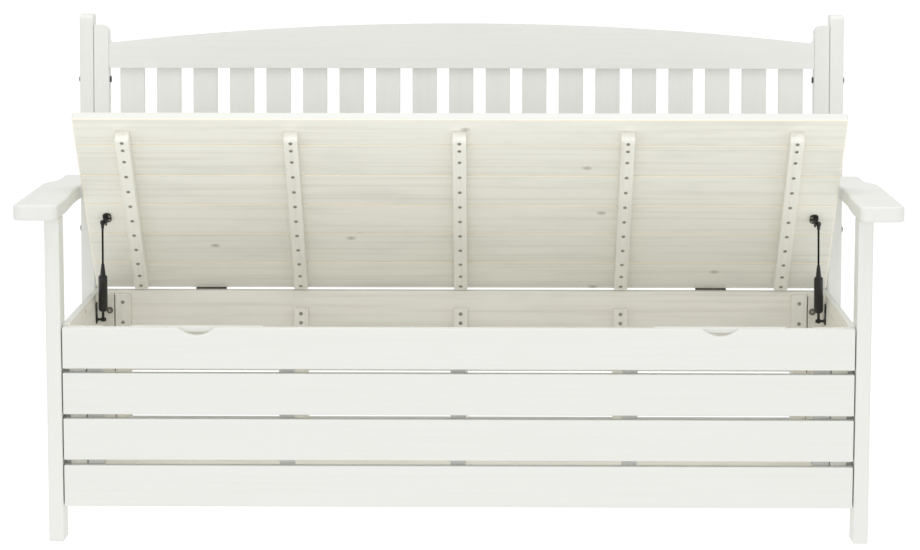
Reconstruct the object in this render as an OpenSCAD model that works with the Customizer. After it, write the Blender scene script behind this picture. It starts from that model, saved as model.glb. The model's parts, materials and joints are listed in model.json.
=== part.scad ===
// Garden storage bench: three seats, slatted box with a hinged lid, two lid stays, arms and a slatted back.
// +Z is up, +Y points to the back. The origin is on the floor, under the middle of the overall box.
// The lid is drawn open, held by its stays.

/* [Overall] */
// Width over the armrests
bench_w = 1596; // [1300:2:2000]
// Depth from the front of the armrests to the back of the posts
bench_d = 600; // [500:2:740]
// Height to the top of the rear posts
bench_h = 937; // [780:1:1150]
// Height of the box under the lid
seat_h = 400; // [330:1:490]
// Height of the top of the armrests
arm_h = 622.5; // [560:0.5:760]
// How far the lid is open, from flat
lid_open = 47.8; // [30:0.1:60]

/* [Legs and arms] */
// Thickness of the leg boards, across the bench
leg_t = 27; // [20:0.5:36]
// Depth of the front legs
leg_d = 56; // [48:1:80]
// Depth of the rear legs up to the seat
post_d = 60; // [50:1:80]
// Depth of the rear legs at their top
post_top_d = 45; // [36:1:50]
// How far back the top of the rear legs leans
back_lean = 35; // [20:1:60]
// Thickness of the armrests
arm_t = 28.5; // [22:0.5:36]
// Overhang of the armrests outside the legs
arm_side = 51.5; // [30:0.5:70]
// Overhang of the armrests in front of the legs
arm_front = 38; // [20:1:60]
// How much narrower the armrests get outside, towards the back
arm_taper = 20; // [8:1:24]
// Depth of the hollow in the inner edge of the armrests
arm_waist = 6; // [0:0.5:12]

/* [Box] */
// Gap between the ground and the box
ground_gap = 66; // [40:1:100]
// Thickness of the front slats
front_t = 20; // [16:0.5:26]
// Thickness of the side slats
side_t = 12; // [9:0.5:18]
// Thickness of the rear slats
rear_t = 18; // [12:0.5:24]
// Gap between the slats of the box
slat_gap = 8; // [4:0.5:14]
// Extra height of the top slats
top_extra = 4; // [0:1:12]
// Width of the end and corner cleats
cleat_w = 30; // [22:1:36]
// Width of the middle cleats
mid_cleat_w = 28; // [20:1:34]
// Thickness of the cleats
cleat_t = 18; // [12:0.5:24]
// Length of the strip behind each finger scoop
strip_l = 240; // [160:5:250]
// Depth of the finger scoops
scoop_d = 15; // [8:0.5:20]
// Radius of the finger scoops
scoop_r = 45; // [30:1:60]
// Distance from the middle of the bench to each finger scoop
scoop_x = 475; // [380:1:520]
// Thickness of the floor slats
floor_t = 12; // [9:0.5:18]
// Height of the floor bearers
bearer_h = 20; // [16:1:34]

/* [Lid] */
// Thickness of the lid slats
lid_t = 19; // [15:0.5:25]
// Gap between the lid and the legs, each side
lid_side_gap = 4; // [3:0.5:8]
// How far the lid stands in front of the box
lid_front = 7; // [0:0.5:15]
// Gap between two lid slats
lid_seam = 0.4; // [0.2:0.1:4]
// Width of the lid battens
batten_w = 26; // [20:1:34]
// Thickness of the lid battens
batten_t = 24; // [16:0.5:28]
// Distance from the side of the lid to the middle of the end battens
batten_inset = 91.5; // [88:0.5:120]

/* [Backrest] */
// Thickness of the stiles, across the bench
stile_t = 30; // [22:0.5:36]
// Depth of the stiles
stile_d = 30; // [26:0.5:36]
// Depth of the top and bottom rails
rail_d = 24; // [22:0.5:26]
// Distance from the top of the posts down to the top of the stiles
stile_drop = 21; // [10:1:40]
// Distance from the top of the posts down to the top of the arch
arch_drop = 18; // [10:1:40]
// Rise of the arch of the top rail
arch_rise = 38; // [10:1:60]
// Height of the top rail at its ends
top_rail_end_h = 50; // [40:1:80]
// Height of the bottom rail
bottom_rail_h = 60; // [40:1:80]
// Gap between the seat frame and the bottom rail
bottom_rail_gap = 36; // [34:1:80]
// Width of the back slats
back_slat_w = 47.5; // [30:0.5:60]
// Thickness of the back slats
back_slat_t = 12; // [8:0.5:14]
// Gap between two back slats
back_slat_gap = 24; // [14:0.5:40]

/* [Hardware] */
// Length of a hinge
hinge_l = 60; // [40:5:100]
// Distance from the middle of the bench to each hinge
hinge_x = 490; // [380:1:520]
// Radius of a hinge pin
hinge_pin_r = 1.2; // [1:0.1:1.3]
// Diameter of the stay tube
stay_tube_dia = 19.2; // [12:0.2:20]
// Diameter of the stay rod
stay_rod_dia = 4; // [3:0.2:5]
// Distance from the hinge axis to the stay fitting on the lid
stay_reach = 212; // [200:1:220]
// Distance from the hinge axis forward to the stay pivot on the wall
stay_back = 79; // [72:1:84]
// Depth of the stay pivot below the top of the box
stay_drop = 50; // [46:1:60]
// Distance from the side wall to the middle of the stay pivot
stay_off = 13.5; // [13:0.5:16]
// How far the stay leans inwards from its pivot to the lid
stay_lean = 11; // [6:1:16]
// Running clearance in the pivots, in radius
run_gap = 0.05; // [0.03:0.01:0.08]

/* [Hidden] */
$fn = 32;

// Paint and metal colours
paint = "#f3f3ee";
paint_inside = "#e6e2d3";
black_steel = "#2a2a2b";
zinc = "#9b9994";

// Fits
stile_gap = 0.4;
slat_end_gap = 2;
LEFT = -1;
RIGHT = 1;
SIDES = [LEFT, RIGHT];

// Legs and box, from the outside in
leg_out = bench_w / 2 - arm_side;
leg_in = leg_out - leg_t;
wall_in = leg_in - side_t;
leg_y = -bench_d / 2 + arm_front;
post_y = bench_d / 2 - post_top_d - back_lean;
wall_y = post_y - 5 - rear_t;
front_in_y = leg_y + front_t;
lean_angle = atan(back_lean / (bench_h - seat_h));

// Slats of the box, counted from the top
slat_count = 4;
low_gap_extra = 2;
slat_h = (seat_h - ground_gap - 3 * slat_gap - low_gap_extra - top_extra) / slat_count;
function slat_top(i) =
    i == 0 ? seat_h : slat_top(i - 1) - slat_height(i - 1) - gap_above(i);
function gap_above(i) = slat_gap + (i == slat_count - 1 ? low_gap_extra : 0);
function slat_height(i) = slat_h + (i == 0 ? top_extra : 0);
front_drop = 4.5;
rear_drop = 0.3;
rear_lift = 4.5;

// Cleats
end_cleat_x = wall_in - 1.5 * cleat_w - 2;
corner_cleat_x = wall_in - cleat_w / 2;
lid_w = 2 * (leg_in - lid_side_gap);
batten_x = lid_w / 2 - batten_inset;
CLEAT_X = [-end_cleat_x, -batten_x / 2, 0, batten_x / 2, end_cleat_x];
function is_end(i) = i == 0 || i == 4;
function cleat_width(i) = is_end(i) ? cleat_w : mid_cleat_w;
cleat_base = ground_gap + bearer_h;
batten_room = 9;
end_cleat_drop = 6;
strip_h = 10;
mid_cleat_top = seat_h - batten_t - batten_room;
function cleat_top(i) = is_end(i) ? seat_h - end_cleat_drop : mid_cleat_top;

// Lid in its closed place
hinge_leaf_t = 1.6;
knuckle_r = 2.5;
lid_gap = 1;
leaf_w = 16;
lid_back_y = wall_y + rear_t;
hinge_y = lid_back_y + 2;
lid_z = seat_h + lid_gap;
hinge_z = lid_z - knuckle_r;
lid_front_y = leg_y - lid_front;
lid_l = lid_back_y - lid_front_y;
lid_count = 6;
front_slat_less = 14;
rear_slat_less = 5;
lid_slat_w = (lid_l - (lid_count - 1) * lid_seam + front_slat_less + rear_slat_less) / lid_count;
function lid_slat_width(i) =
    lid_slat_w - (i == 0 ? front_slat_less : 0) - (i == lid_count - 1 ? rear_slat_less : 0);
function lid_slat_y(i) = i == 0 ? lid_front_y : lid_slat_y(i - 1) + lid_slat_width(i - 1) + lid_seam;
batten_front_y = front_in_y + 3;
batten_back_y = wall_y - 1.5;
BATTEN_X = [-batten_x, -batten_x / 2, 0, batten_x / 2, batten_x];
function covered(i) =
    [max(lid_slat_y(i), batten_front_y), min(lid_slat_y(i) + lid_slat_width(i), batten_back_y)];
LID_SCREW_Y = [for (i = [0 : lid_count - 1], part = [0.25, 0.75])
    covered(i)[0] + part * (covered(i)[1] - covered(i)[0])];

// Screws and bolts
screw_r = 1.9;
screw_head_r = 3.6;
screw_head_h = 2.2;
screw_bite = 12;
bolt_r = 3;
bolt_gap = 0.2;
bolt_head_r = 6.5;
bolt_head_h = 3.5;
nut_r = 6;
nut_h = 3;
leg_bite = 20;
front_bolt_y = leg_y + leg_d - 8.5;
rear_bolt_y = post_y + post_d / 2 - 2;
floor_top = cleat_base + floor_t;
leg_bolt_z = [slat_top(0) - slat_height(0) / 2, floor_top + bolt_head_r + 3];
corner_bolt_x = corner_cleat_x - 6.5;
corner_bolt_z = [slat_top(0) - slat_height(0) / 2 + 2, floor_top + bolt_head_r + 6];
arm_screw_y = leg_y + 22;
arm_hole_x = (leg_out + leg_in) / 2;
plug_r = 5;
plug_h = 5;
arm_bolt_z = arm_h - arm_t / 2;
arm_bite = 32;
post_back_lean = bench_d / 2 - post_y - post_d;

// Backrest, in the leaning frame: y from its front face, h up from the seat frame
back_h = (bench_h - seat_h) / cos(lean_angle);
stile_out = leg_in - stile_gap;
stile_in = stile_out - stile_t;
stile_base = 28;
stile_top = back_h - stile_drop;
arch_top = back_h - arch_drop;
rail_end_top = arch_top - arch_rise;
rail_base = rail_end_top - top_rail_end_h;
bottom_rail_top = bottom_rail_gap + bottom_rail_h;
groove = 12;
slat_set = 7;
back_span = 2 * stile_in;
end_gap = 21;
back_slat_count = 1 + floor((back_span - 2 * end_gap - back_slat_w) / (back_slat_w + back_slat_gap) + 0.5);
back_pitch = (back_span - 2 * end_gap - back_slat_w) / (back_slat_count - 1);
bolt_to_rail = 22;
back_bolt_h = [bottom_rail_top + bolt_to_rail, rail_base - bolt_to_rail];

// Stay: pivot on the wall, fitting on the lid, both in the plane across the hinge
fit_drop = 14;
pivot = [hinge_y - stay_back, seat_h - stay_drop];
lid_fit = [hinge_y - stay_reach, lid_z - fit_drop];
function turned(p, a) = [hinge_y + (p[0] - hinge_y) * cos(a) - (p[1] - hinge_z) * sin(a),
    hinge_z + (p[0] - hinge_y) * sin(a) + (p[1] - hinge_z) * cos(a)];
open_run = turned(lid_fit, -lid_open) - pivot;
shut_run = lid_fit - pivot;
stay_tilt = atan(stay_lean / norm(open_run));
stay_angle = atan2(open_run[1], open_run[0]);
stay_len = norm(open_run) / cos(stay_tilt);
stay_shut_len = norm(shut_run) / cos(stay_tilt);
stay_x = wall_in - stay_off;
eye_r = 4.5;
eye_w = 7;
neck = 19;
cap_l = 26;
tube_l = stay_shut_len - neck - cap_l - 16;
rod_l = stay_shut_len - neck - 3;
plate_t = 2.5;
stud_r = 2.5;
lug_t = 3;

// Outline helpers
function unit(v) = v / norm(v);
function swing(a) = a > 180 ? a - 360 : a < -180 ? a + 360 : a;
function arc(a, b, c, r, n) =
    let (u = unit(a - b), v = unit(c - b), half = acos(u * v) / 2)
    let (centre = b + unit(u + v) * r / sin(half), p = b + u * r / tan(half), q = b + v * r / tan(half))
    let (start = atan2(p[1] - centre[1], p[0] - centre[0]))
    let (sweep = swing(atan2(q[1] - centre[1], q[0] - centre[0]) - start))
    [for (i = [0 : n]) centre + r * [cos(start + sweep * i / n), sin(start + sweep * i / n)]];
function point(p) = [p[0], p[1]];
// Corner points [x, y, radius] to an outline with round corners
function rounded(pts, n = 6) =
    let (count = len(pts))
    [for (i = [0 : count - 1])
        let (a = point(pts[(i + count - 1) % count]), b = point(pts[i]), c = point(pts[(i + 1) % count]))
        each pts[i][2] == 0 ? [b] : arc(a, b, c, pts[i][2], n)];

// A board from its lowest corner to its highest
module board(lo, hi) {
    translate(lo)
        cube(hi - lo);
}

// Draws a right-hand piece on the given side
module on_side(s) {
    mirror([s == LEFT ? 1 : 0, 0, 0])
        children();
}

// Extrudes an outline drawn in y and z across the bench, from x0 to x1
module across(x0, x1) {
    translate([x0, 0, 0])
        rotate([90, 0, 90])
            linear_extrude(height = x1 - x0)
                children();
}

// Places things in the leaning frame of the backrest
module back_frame() {
    translate([0, post_y, seat_h])
        rotate([-lean_angle, 0, 0])
            children();
}

// Places a lid piece, drawn closed, in its open rest position
module lid_frame() {
    translate([0, hinge_y, hinge_z])
        rotate([-lid_open, 0, 0])
            translate([0, -hinge_y, -hinge_z])
                children();
}

// Countersunk screw along +Z with its head at z = 0
module screw(l) {
    cylinder(h = screw_head_h, r1 = screw_head_r, r2 = screw_r);
    cylinder(h = l, r = screw_r);
}

// Round bars between two positions, along x or along y
module rod_along_x(x0, x1, r) {
    translate([x0, 0, 0])
        rotate([0, 90, 0])
            cylinder(h = x1 - x0, r = r);
}

module rod_along_y(y0, y1, r) {
    translate([0, y1, 0])
        rotate([90, 0, 0])
            cylinder(h = y1 - y0, r = r);
}

// Domed head with a hex socket
module bolt_head(r = bolt_head_r, h = bolt_head_h) {
    difference() {
        intersection() {
            cylinder(h = h, r = r);
            translate([0, 0, h - 2 * r])
                sphere(r = 2 * r);
        }
        translate([0, 0, h - 2])
            cylinder(h = 3, r = 2.2, $fn = 6);
    }
}

/* Legs and arms */
module leg_bolt_places(y) {
    for (z = leg_bolt_z)
        translate([0, y, z])
            children();
}

module front_leg(s) {
    leg_top = arm_h - arm_t;
    color(paint)
    on_side(s)
        difference() {
            intersection() {
                across(leg_in, leg_out)
                    polygon(rounded([[leg_y, 0, 3], [leg_y + leg_d, 0, 3], [leg_y + leg_d, leg_top, 0],
                        [leg_y, leg_top, 0]]));
                translate([0, leg_y + leg_d, 0])
                    rotate([90, 0, 0])
                        linear_extrude(height = leg_d)
                            polygon(rounded([[leg_in, 0, 4], [leg_out, 0, 4], [leg_out, leg_top, 0],
                                [leg_in, leg_top, 0]]));
            }
            leg_bolt_places(front_bolt_y)
                rod_along_x(leg_in - 1, leg_in + leg_bite, bolt_r);
            translate([arm_hole_x, arm_screw_y, leg_top + 1])
                mirror([0, 0, 1])
                    cylinder(h = 41, r = screw_r);
        }
}

module rear_leg(s) {
    color(paint)
    on_side(s)
        difference() {
            intersection() {
                across(leg_in, leg_out)
                    polygon(rounded([[post_y, 0, 3], [post_y + post_d, 0, 3], [post_y + post_d, seat_h, 60],
                        [bench_d / 2, bench_h - 20, 10], [bench_d / 2, bench_h, 8],
                        [post_y + back_lean, bench_h, 14], [post_y, seat_h, 60]]));
                translate([0, bench_d / 2 + 1, 0])
                    rotate([90, 0, 0])
                        linear_extrude(height = bench_d / 2 - post_y + 2)
                            polygon(rounded([[leg_in, 0, 4], [leg_out, 0, 4], [leg_out, bench_h, 7],
                                [leg_in, bench_h, 7]]));
            }
            leg_bolt_places(rear_bolt_y)
                rod_along_x(leg_in - 1, leg_in + leg_bite, bolt_r);
            back_frame()
                for (h = back_bolt_h)
                    translate([0, stile_d / 2, h])
                        rod_along_x(leg_in - 1, leg_out + 1, bolt_r + bolt_gap);
            translate([arm_hole_x, 0, arm_bolt_z])
                rod_along_y(post_y - 1, bench_d / 2 + 1, bolt_r + bolt_gap);
            translate([arm_hole_x, 0, arm_bolt_z])
                rod_along_y(arm_bolt_seat(), bench_d / 2 + 1, bolt_head_r + 1);
        }
}

// Where the head of the arm bolt sits, sunk into the back of the post
function arm_bolt_seat() =
    post_y + post_d + post_back_lean * (arm_bolt_z - seat_h) / (bench_h - seat_h) - bolt_head_h - 1;

module armrest(s) {
    arm_out = bench_w / 2;
    arm_in = leg_in - lid_side_gap / 2;
    waist_front = leg_y + leg_d + 6;
    waist_back = post_y - 30;
    taper_y = post_y - 110;
    taper_l = 56;
    waist = [for (i = [0 : 24])
        [arm_in + arm_waist * pow(sin(180 * i / 24), 2), waist_back + (waist_front - waist_back) * i / 24]];
    corners = rounded([[arm_in, -bench_d / 2, 16], [arm_out, -bench_d / 2, 18],
        [arm_out, taper_y - taper_l / 2, 90],
        [arm_out - arm_taper, taper_y + taper_l / 2, 90], [arm_out - arm_taper, post_y + back_lean, 0],
        [arm_in, post_y + back_lean, 0]], 10);
    color(paint)
    on_side(s)
        difference() {
            translate([0, 0, arm_h - arm_t])
                linear_extrude(height = arm_t)
                    polygon(concat(corners, waist));
            back_frame()
                board([arm_in - 1, 0, 0], [arm_out + 1, 200, back_h]);
            translate([arm_hole_x, arm_screw_y, arm_h - plug_h])
                cylinder(h = plug_h + 1, r = plug_r);
            translate([arm_hole_x, arm_screw_y, arm_h - plug_h])
                mirror([0, 0, 1])
                    screw(arm_t);
            translate([arm_hole_x, 0, arm_bolt_z])
                rod_along_y(arm_bolt_end(), post_y + back_lean + 1, bolt_r);
        }
}

function arm_bolt_end() = post_y - arm_bite;

/* Box */
// Height of a screw: lower in the top slat where the cleats are short, above the floor in the lowest slat
function wall_screw_z(i, c, d) =
    i == 0 && !is_end(c) ? mid_cleat_top - 20 + 9 * d
    : i == slat_count - 1 ? (floor_top + slat_top(i)) / 2 + 14 * d
    : slat_top(i) - slat_height(i) / 2 - 2 + 20 * d;

// Two screws through each cleat into wall slat i
module wall_screw_places(i, y, turn) {
    for (c = [0 : 4], d = SIDES)
        translate([CLEAT_X[c], y, wall_screw_z(i, c, d)])
            rotate([turn, 0, 0])
                children();
}

module front_screw_places(i) {
    wall_screw_places(i, front_in_y + cleat_t, 90)
        children();
}

module rear_screw_places(i) {
    wall_screw_places(i, wall_y - cleat_t, -90)
        children();
}

module corner_bolt_places() {
    for (s = SIDES, z = corner_bolt_z)
        translate([s * corner_bolt_x, 0, z])
            children();
}

// The top front slat stays a little below the side slats, which carry the lid
module front_slat(i) {
    z = slat_top(i) - (i == 0 ? front_drop : 0);
    x = leg_in - slat_end_gap;
    color(paint)
    difference() {
        board([-x, leg_y, slat_top(i) - slat_height(i)], [x, front_in_y, z]);
        if (i == 0)
            for (s = SIDES)
                translate([s * scoop_x, 0, z - scoop_d + scoop_r])
                    rod_along_y(leg_y - 1, front_in_y + 1, scoop_r, $fn = 64);
        front_screw_places(i)
            cylinder(h = cleat_t + screw_bite, r = screw_r);
        corner_bolt_places()
            rod_along_y(front_in_y - screw_bite, front_in_y + 1, bolt_r);
    }
}

// The five upright cleats against the inner face of a long wall
module wall_cleats(y0) {
    for (i = [0 : 4])
        let (half = cleat_width(i) / 2)
        board([CLEAT_X[i] - half, y0, cleat_base], [CLEAT_X[i] + half, y0 + cleat_t, cleat_top(i)]);
}

module front_cleats() {
    color(paint_inside)
    difference() {
        wall_cleats(front_in_y);
        for (i = [0 : slat_count - 1])
            front_screw_places(i)
                screw(cleat_t + 1);
    }
}

module grip_strips() {
    z = seat_h - front_drop - 0.5;
    half = strip_l / 2;
    color(paint_inside)
    for (x = [-scoop_x, scoop_x])
        board([x - half, front_in_y, z - strip_h], [x + half, front_in_y + cleat_t - 2, z]);
}

module side_slat(s, i) {
    z = slat_top(i);
    color(paint)
    on_side(s)
        difference() {
            board([wall_in, front_in_y, z - slat_height(i)], [leg_in, post_y + post_d - 5, z]);
            leg_bolt_places(front_bolt_y)
                rod_along_x(wall_in - 1, leg_in + 1, bolt_r + bolt_gap);
            leg_bolt_places(rear_bolt_y)
                rod_along_x(wall_in - 1, leg_in + 1, bolt_r + bolt_gap);
        }
}

module corner_cleats(s) {
    lo_x = wall_in - cleat_w;
    color(paint_inside)
    on_side(s)
        difference() {
            union() {
                board([lo_x, front_in_y, ground_gap], [wall_in, front_in_y + cleat_t, cleat_top(0)]);
                board([lo_x, wall_y - cleat_t, ground_gap], [wall_in, wall_y, cleat_top(0)]);
            }
            for (z = corner_bolt_z)
                translate([corner_bolt_x, 0, z])
                    rod_along_y(front_in_y - 1, wall_y + 1, bolt_r + bolt_gap);
        }
}

// The rear slats sit a little higher than the front ones; the top one is let in for the hinge leaves
module rear_slat(i) {
    z = slat_top(i) + (i == 0 ? -rear_drop : rear_lift);
    color(paint)
    difference() {
        board([-wall_in + 1, wall_y, slat_top(i) - slat_height(i) + rear_lift], [wall_in - 1, wall_y + rear_t, z]);
        if (i == 0)
            for (x = [-hinge_x, hinge_x])
                board([x - hinge_l / 2 - 1, hinge_y - leaf_w, hinge_z - knuckle_r],
                    [x + hinge_l / 2 + 1, wall_y + rear_t + 1, seat_h]);
        rear_screw_places(i)
            cylinder(h = cleat_t + screw_bite, r = screw_r);
        corner_bolt_places()
            rod_along_y(wall_y - 1, wall_y + screw_bite, bolt_r);
    }
}

module rear_cleats() {
    color(paint_inside)
    difference() {
        wall_cleats(wall_y - cleat_t);
        for (i = [0 : slat_count - 1])
            rear_screw_places(i)
                screw(cleat_t + 1);
    }
}

module floor_bearers() {
    color(paint_inside)
    for (i = [0 : 4])
        let (half = cleat_width(i) / 2)
        board([CLEAT_X[i] - half, front_in_y, ground_gap], [CLEAT_X[i] + half, wall_y, cleat_base]);
}

module floor_slats() {
    count = 5;
    gap = 6;
    y0 = front_in_y + cleat_t + 4;
    y1 = wall_y - cleat_t - 4;
    w = (y1 - y0 - (count - 1) * gap) / count;
    color(paint_inside)
    for (i = [0 : count - 1])
        let (y = y0 + i * (w + gap))
        board([-wall_in + 1, y, cleat_base], [wall_in - 1, y + w, cleat_base + floor_t]);
}

/* Backrest */
module back_bolt_places() {
    back_frame()
        for (h = back_bolt_h)
            translate([0, stile_d / 2, h])
                children();
}

module back_stile(s) {
    color(paint)
    on_side(s)
        difference() {
            back_frame()
                translate([0, stile_d, 0])
                    rotate([90, 0, 0])
                        linear_extrude(height = stile_d)
                            polygon(rounded([[stile_in, stile_base, 2], [stile_out, stile_base, 2],
                                [stile_out, stile_top, 4], [stile_in, stile_top, 15]], 8));
            back_bolt_places()
                rod_along_x(stile_in - 1, stile_out + 1, bolt_r + bolt_gap);
        }
}

module back_top_rail() {
    steps = 48;
    fillet = 9;
    half = stile_in - fillet;
    radius = (half * half + arch_rise * arch_rise) / (2 * arch_rise);
    arch = [for (i = [0 : steps])
        let (x = half - 2 * half * i / steps)
        [x, arch_top - radius + sqrt(radius * radius - x * x)]];
    sweep = [for (i = [5 : -1 : 0])
        [half + fillet * sin(15 * i + 15), rail_end_top + fillet - fillet * cos(15 * i + 15)]];
    sweep_back = [for (i = [5 : -1 : 0]) [-sweep[i][0], sweep[i][1]]];
    color(paint)
    back_frame()
        difference() {
            translate([0, rail_d, 0])
                rotate([90, 0, 0])
                    linear_extrude(height = rail_d)
                        polygon(concat([[-stile_in, rail_base], [stile_in, rail_base]],
                            sweep, arch, sweep_back));
            board([-stile_in - 1, slat_set, rail_base - 1],
                [stile_in + 1, slat_set + back_slat_t, rail_base + groove]);
        }
}

module back_bottom_rail() {
    color(paint)
    back_frame()
        difference() {
            board([-stile_in, 0, bottom_rail_gap], [stile_in, rail_d, bottom_rail_top]);
            board([-stile_in - 1, slat_set, bottom_rail_top - groove],
                [stile_in + 1, slat_set + back_slat_t, bottom_rail_top + 1]);
        }
}

module back_slats() {
    color(paint)
    back_frame()
        for (i = [0 : back_slat_count - 1])
            let (x = -stile_in + end_gap + i * back_pitch)
            board([x, slat_set, bottom_rail_top - groove],
                [x + back_slat_w, slat_set + back_slat_t, rail_base + groove]);
}

/* Fasteners of the frame */
module back_bolts() {
    color(black_steel)
    for (s = SIDES)
        on_side(s)
            back_bolt_places() {
                rod_along_x(stile_in - nut_h, leg_out, bolt_r);
                translate([leg_out, 0, 0])
                    rotate([0, 90, 0])
                        bolt_head();
            }
}

module back_nuts() {
    color(black_steel)
    for (s = SIDES)
        on_side(s)
            back_bolt_places()
                difference() {
                    rod_along_x(stile_in - nut_h, stile_in, nut_r, $fn = 6);
                    rod_along_x(stile_in - nut_h - 1, stile_in + 1, bolt_r);
                }
}

module leg_bolts() {
    color(zinc)
    for (s = SIDES, y = [front_bolt_y, rear_bolt_y])
        on_side(s)
            leg_bolt_places(y) {
                rod_along_x(wall_in, leg_in + leg_bite, bolt_r);
                translate([wall_in, 0, 0])
                    rotate([0, -90, 0])
                        bolt_head();
            }
}

module corner_bolts() {
    color(black_steel) {
        corner_bolt_places() {
            rod_along_y(front_in_y - screw_bite, front_in_y + cleat_t, bolt_r);
            translate([0, front_in_y + cleat_t, 0])
                rotate([-90, 0, 0])
                    bolt_head();
        }
        corner_bolt_places() {
            rod_along_y(wall_y - cleat_t, wall_y + screw_bite, bolt_r);
            translate([0, wall_y - cleat_t, 0])
                rotate([90, 0, 0])
                    bolt_head();
        }
    }
}

module cleat_screws() {
    color(zinc)
    for (i = [0 : slat_count - 1]) {
        front_screw_places(i)
            screw(cleat_t + screw_bite);
        rear_screw_places(i)
            screw(cleat_t + screw_bite);
    }
}

module arm_screws() {
    color(zinc)
    for (s = SIDES)
        on_side(s) {
            translate([arm_hole_x, arm_screw_y, arm_h - plug_h])
                mirror([0, 0, 1])
                    screw(arm_t - plug_h + 40);
            translate([arm_hole_x, 0, arm_bolt_z]) {
                rod_along_y(arm_bolt_end(), arm_bolt_seat(), bolt_r);
                translate([0, arm_bolt_seat(), 0])
                    rotate([-90, 0, 0])
                        bolt_head();
            }
        }
}

module arm_plugs() {
    color(paint)
    for (s = SIDES)
        translate([s * arm_hole_x, arm_screw_y, arm_h - plug_h])
            cylinder(h = plug_h, r = plug_r);
}

/* Lid */
module lid_screw_places() {
    for (x = BATTEN_X, y = LID_SCREW_Y)
        translate([x, y, lid_z - batten_t])
            children();
}

module lid_slat(i) {
    y = lid_slat_y(i);
    color(i == 0 ? paint : paint_inside)
    lid_frame()
        difference() {
            board([-lid_w / 2, y, lid_z], [lid_w / 2, y + lid_slat_width(i), lid_z + lid_t]);
            lid_screw_places()
                cylinder(h = batten_t + screw_bite, r = screw_r);
        }
}

module lid_battens() {
    bevel = 5;
    low = lid_z - batten_t;
    color(paint_inside)
    lid_frame()
        difference() {
            for (x = BATTEN_X)
                across(x - batten_w / 2, x + batten_w / 2)
                    polygon([[batten_front_y, lid_z], [batten_front_y, low + bevel],
                        [batten_front_y + bevel, low], [batten_back_y - bevel, low],
                        [batten_back_y, low + bevel], [batten_back_y, lid_z]]);
            lid_screw_places()
                screw(batten_t + 1);
        }
}

module lid_screws() {
    color(zinc)
    lid_frame()
        lid_screw_places()
            screw(batten_t + screw_bite);
}

/* Hinges: five knuckles, three on the frame and two on the lid */
knuckle_gap = 0.3;

module knuckles(odd, bore) {
    l = hinge_l / 5;
    for (i = [odd : 2 : 4])
        translate([-hinge_l / 2 + i * l + knuckle_gap / 2, 0, 0])
            difference() {
                rod_along_x(0, l - knuckle_gap, knuckle_r);
                rod_along_x(-1, l + 1, bore);
            }
}

// Leaf in front of the axis, its face at height z0, with a tongue to each of its knuckles
module leaf(odd, bore, z0) {
    l = hinge_l / 5;
    knuckles(odd, bore);
    difference() {
        union() {
            board([-hinge_l / 2, -leaf_w, z0], [hinge_l / 2, -knuckle_r - knuckle_gap, z0 + hinge_leaf_t]);
            for (i = [odd : 2 : 4])
                board([-hinge_l / 2 + i * l + knuckle_gap / 2, -knuckle_r - 1, z0],
                    [-hinge_l / 2 + (i + 1) * l - knuckle_gap / 2, 0, z0 + hinge_leaf_t]);
        }
        rod_along_x(-hinge_l, hinge_l, bore);
    }
}

module hinge_places() {
    for (s = SIDES)
        translate([s * hinge_x, hinge_y, hinge_z])
            children();
}

module hinge_frame_leaves() {
    color(zinc)
    hinge_places()
        leaf(0, hinge_pin_r, -knuckle_r);
}

module hinge_lid_leaves() {
    color(zinc)
    lid_frame()
        hinge_places()
            rotate([-90, 0, 0])
                leaf(1, hinge_pin_r + run_gap, lid_back_y - hinge_y);
}

module hinge_pins() {
    color(zinc)
    hinge_places()
        rod_along_x(-hinge_l / 2 - 1, hinge_l / 2 + 1, hinge_pin_r);
}

/* Lid stays */
// Frame of an open stay: origin at the wall pivot, +Z along the stay
module stay_frame(s) {
    on_side(s)
        translate([stay_x, pivot[0], pivot[1]])
            rotate([stay_angle - 90, 0, 0])
                rotate([0, -stay_tilt, 0])
                    children();
}

module stay_bracket(s) {
    on_side(s) {
        board([wall_in - plate_t, pivot[0] - 9, pivot[1] - 8], [wall_in, pivot[0] + 9, pivot[1] + 34]);
        translate([0, pivot[0], pivot[1]])
            rod_along_x(stay_x - eye_w / 2 - 1, wall_in - plate_t, stud_r);
        translate([0, pivot[0], pivot[1]])
            rod_along_x(stay_x - eye_w / 2 - 2.5, stay_x - eye_w / 2 - 1, stud_r + 1.2);
    }
}

module stay_brackets() {
    color(black_steel)
    for (s = SIDES)
        stay_bracket(s);
}

module stay_tube(s) {
    r = stay_tube_dia / 2;
    bore = stay_rod_dia / 2 + run_gap;
    color(black_steel)
    difference() {
        union() {
            on_side(s)
                translate([0, pivot[0], pivot[1]])
                    rod_along_x(stay_x - eye_w / 2, stay_x + eye_w / 2, eye_r);
            stay_frame(s) {
                translate([0, 0, eye_r - 1.5])
                    cylinder(h = neck - eye_r + 2.5, r = 2.6);
                translate([0, 0, neck])
                    cylinder(h = 3, r1 = r - 2, r2 = r);
                translate([0, 0, neck + 3])
                    cylinder(h = tube_l - 6, r = r);
                translate([0, 0, neck + tube_l - 3])
                    cylinder(h = 3, r1 = r, r2 = r - 2.5);
                translate([0, 0, neck + tube_l])
                    cylinder(h = cap_l, r1 = 5.2, r2 = 3);
            }
        }
        on_side(s)
            translate([0, pivot[0], pivot[1]])
                rod_along_x(stay_x - eye_w, stay_x + eye_w, stud_r + run_gap);
        stay_frame(s)
            translate([0, 0, neck + 2])
                cylinder(h = tube_l + cap_l, r = bore);
    }
}

module stay_rod(s) {
    tip = stay_len - rod_l;
    color(black_steel)
    stay_frame(s) {
        translate([0, 0, tip])
            cylinder(h = rod_l, r = stay_rod_dia / 2);
        translate([0, 0, stay_len])
            sphere(r = 5);
    }
}

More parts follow.
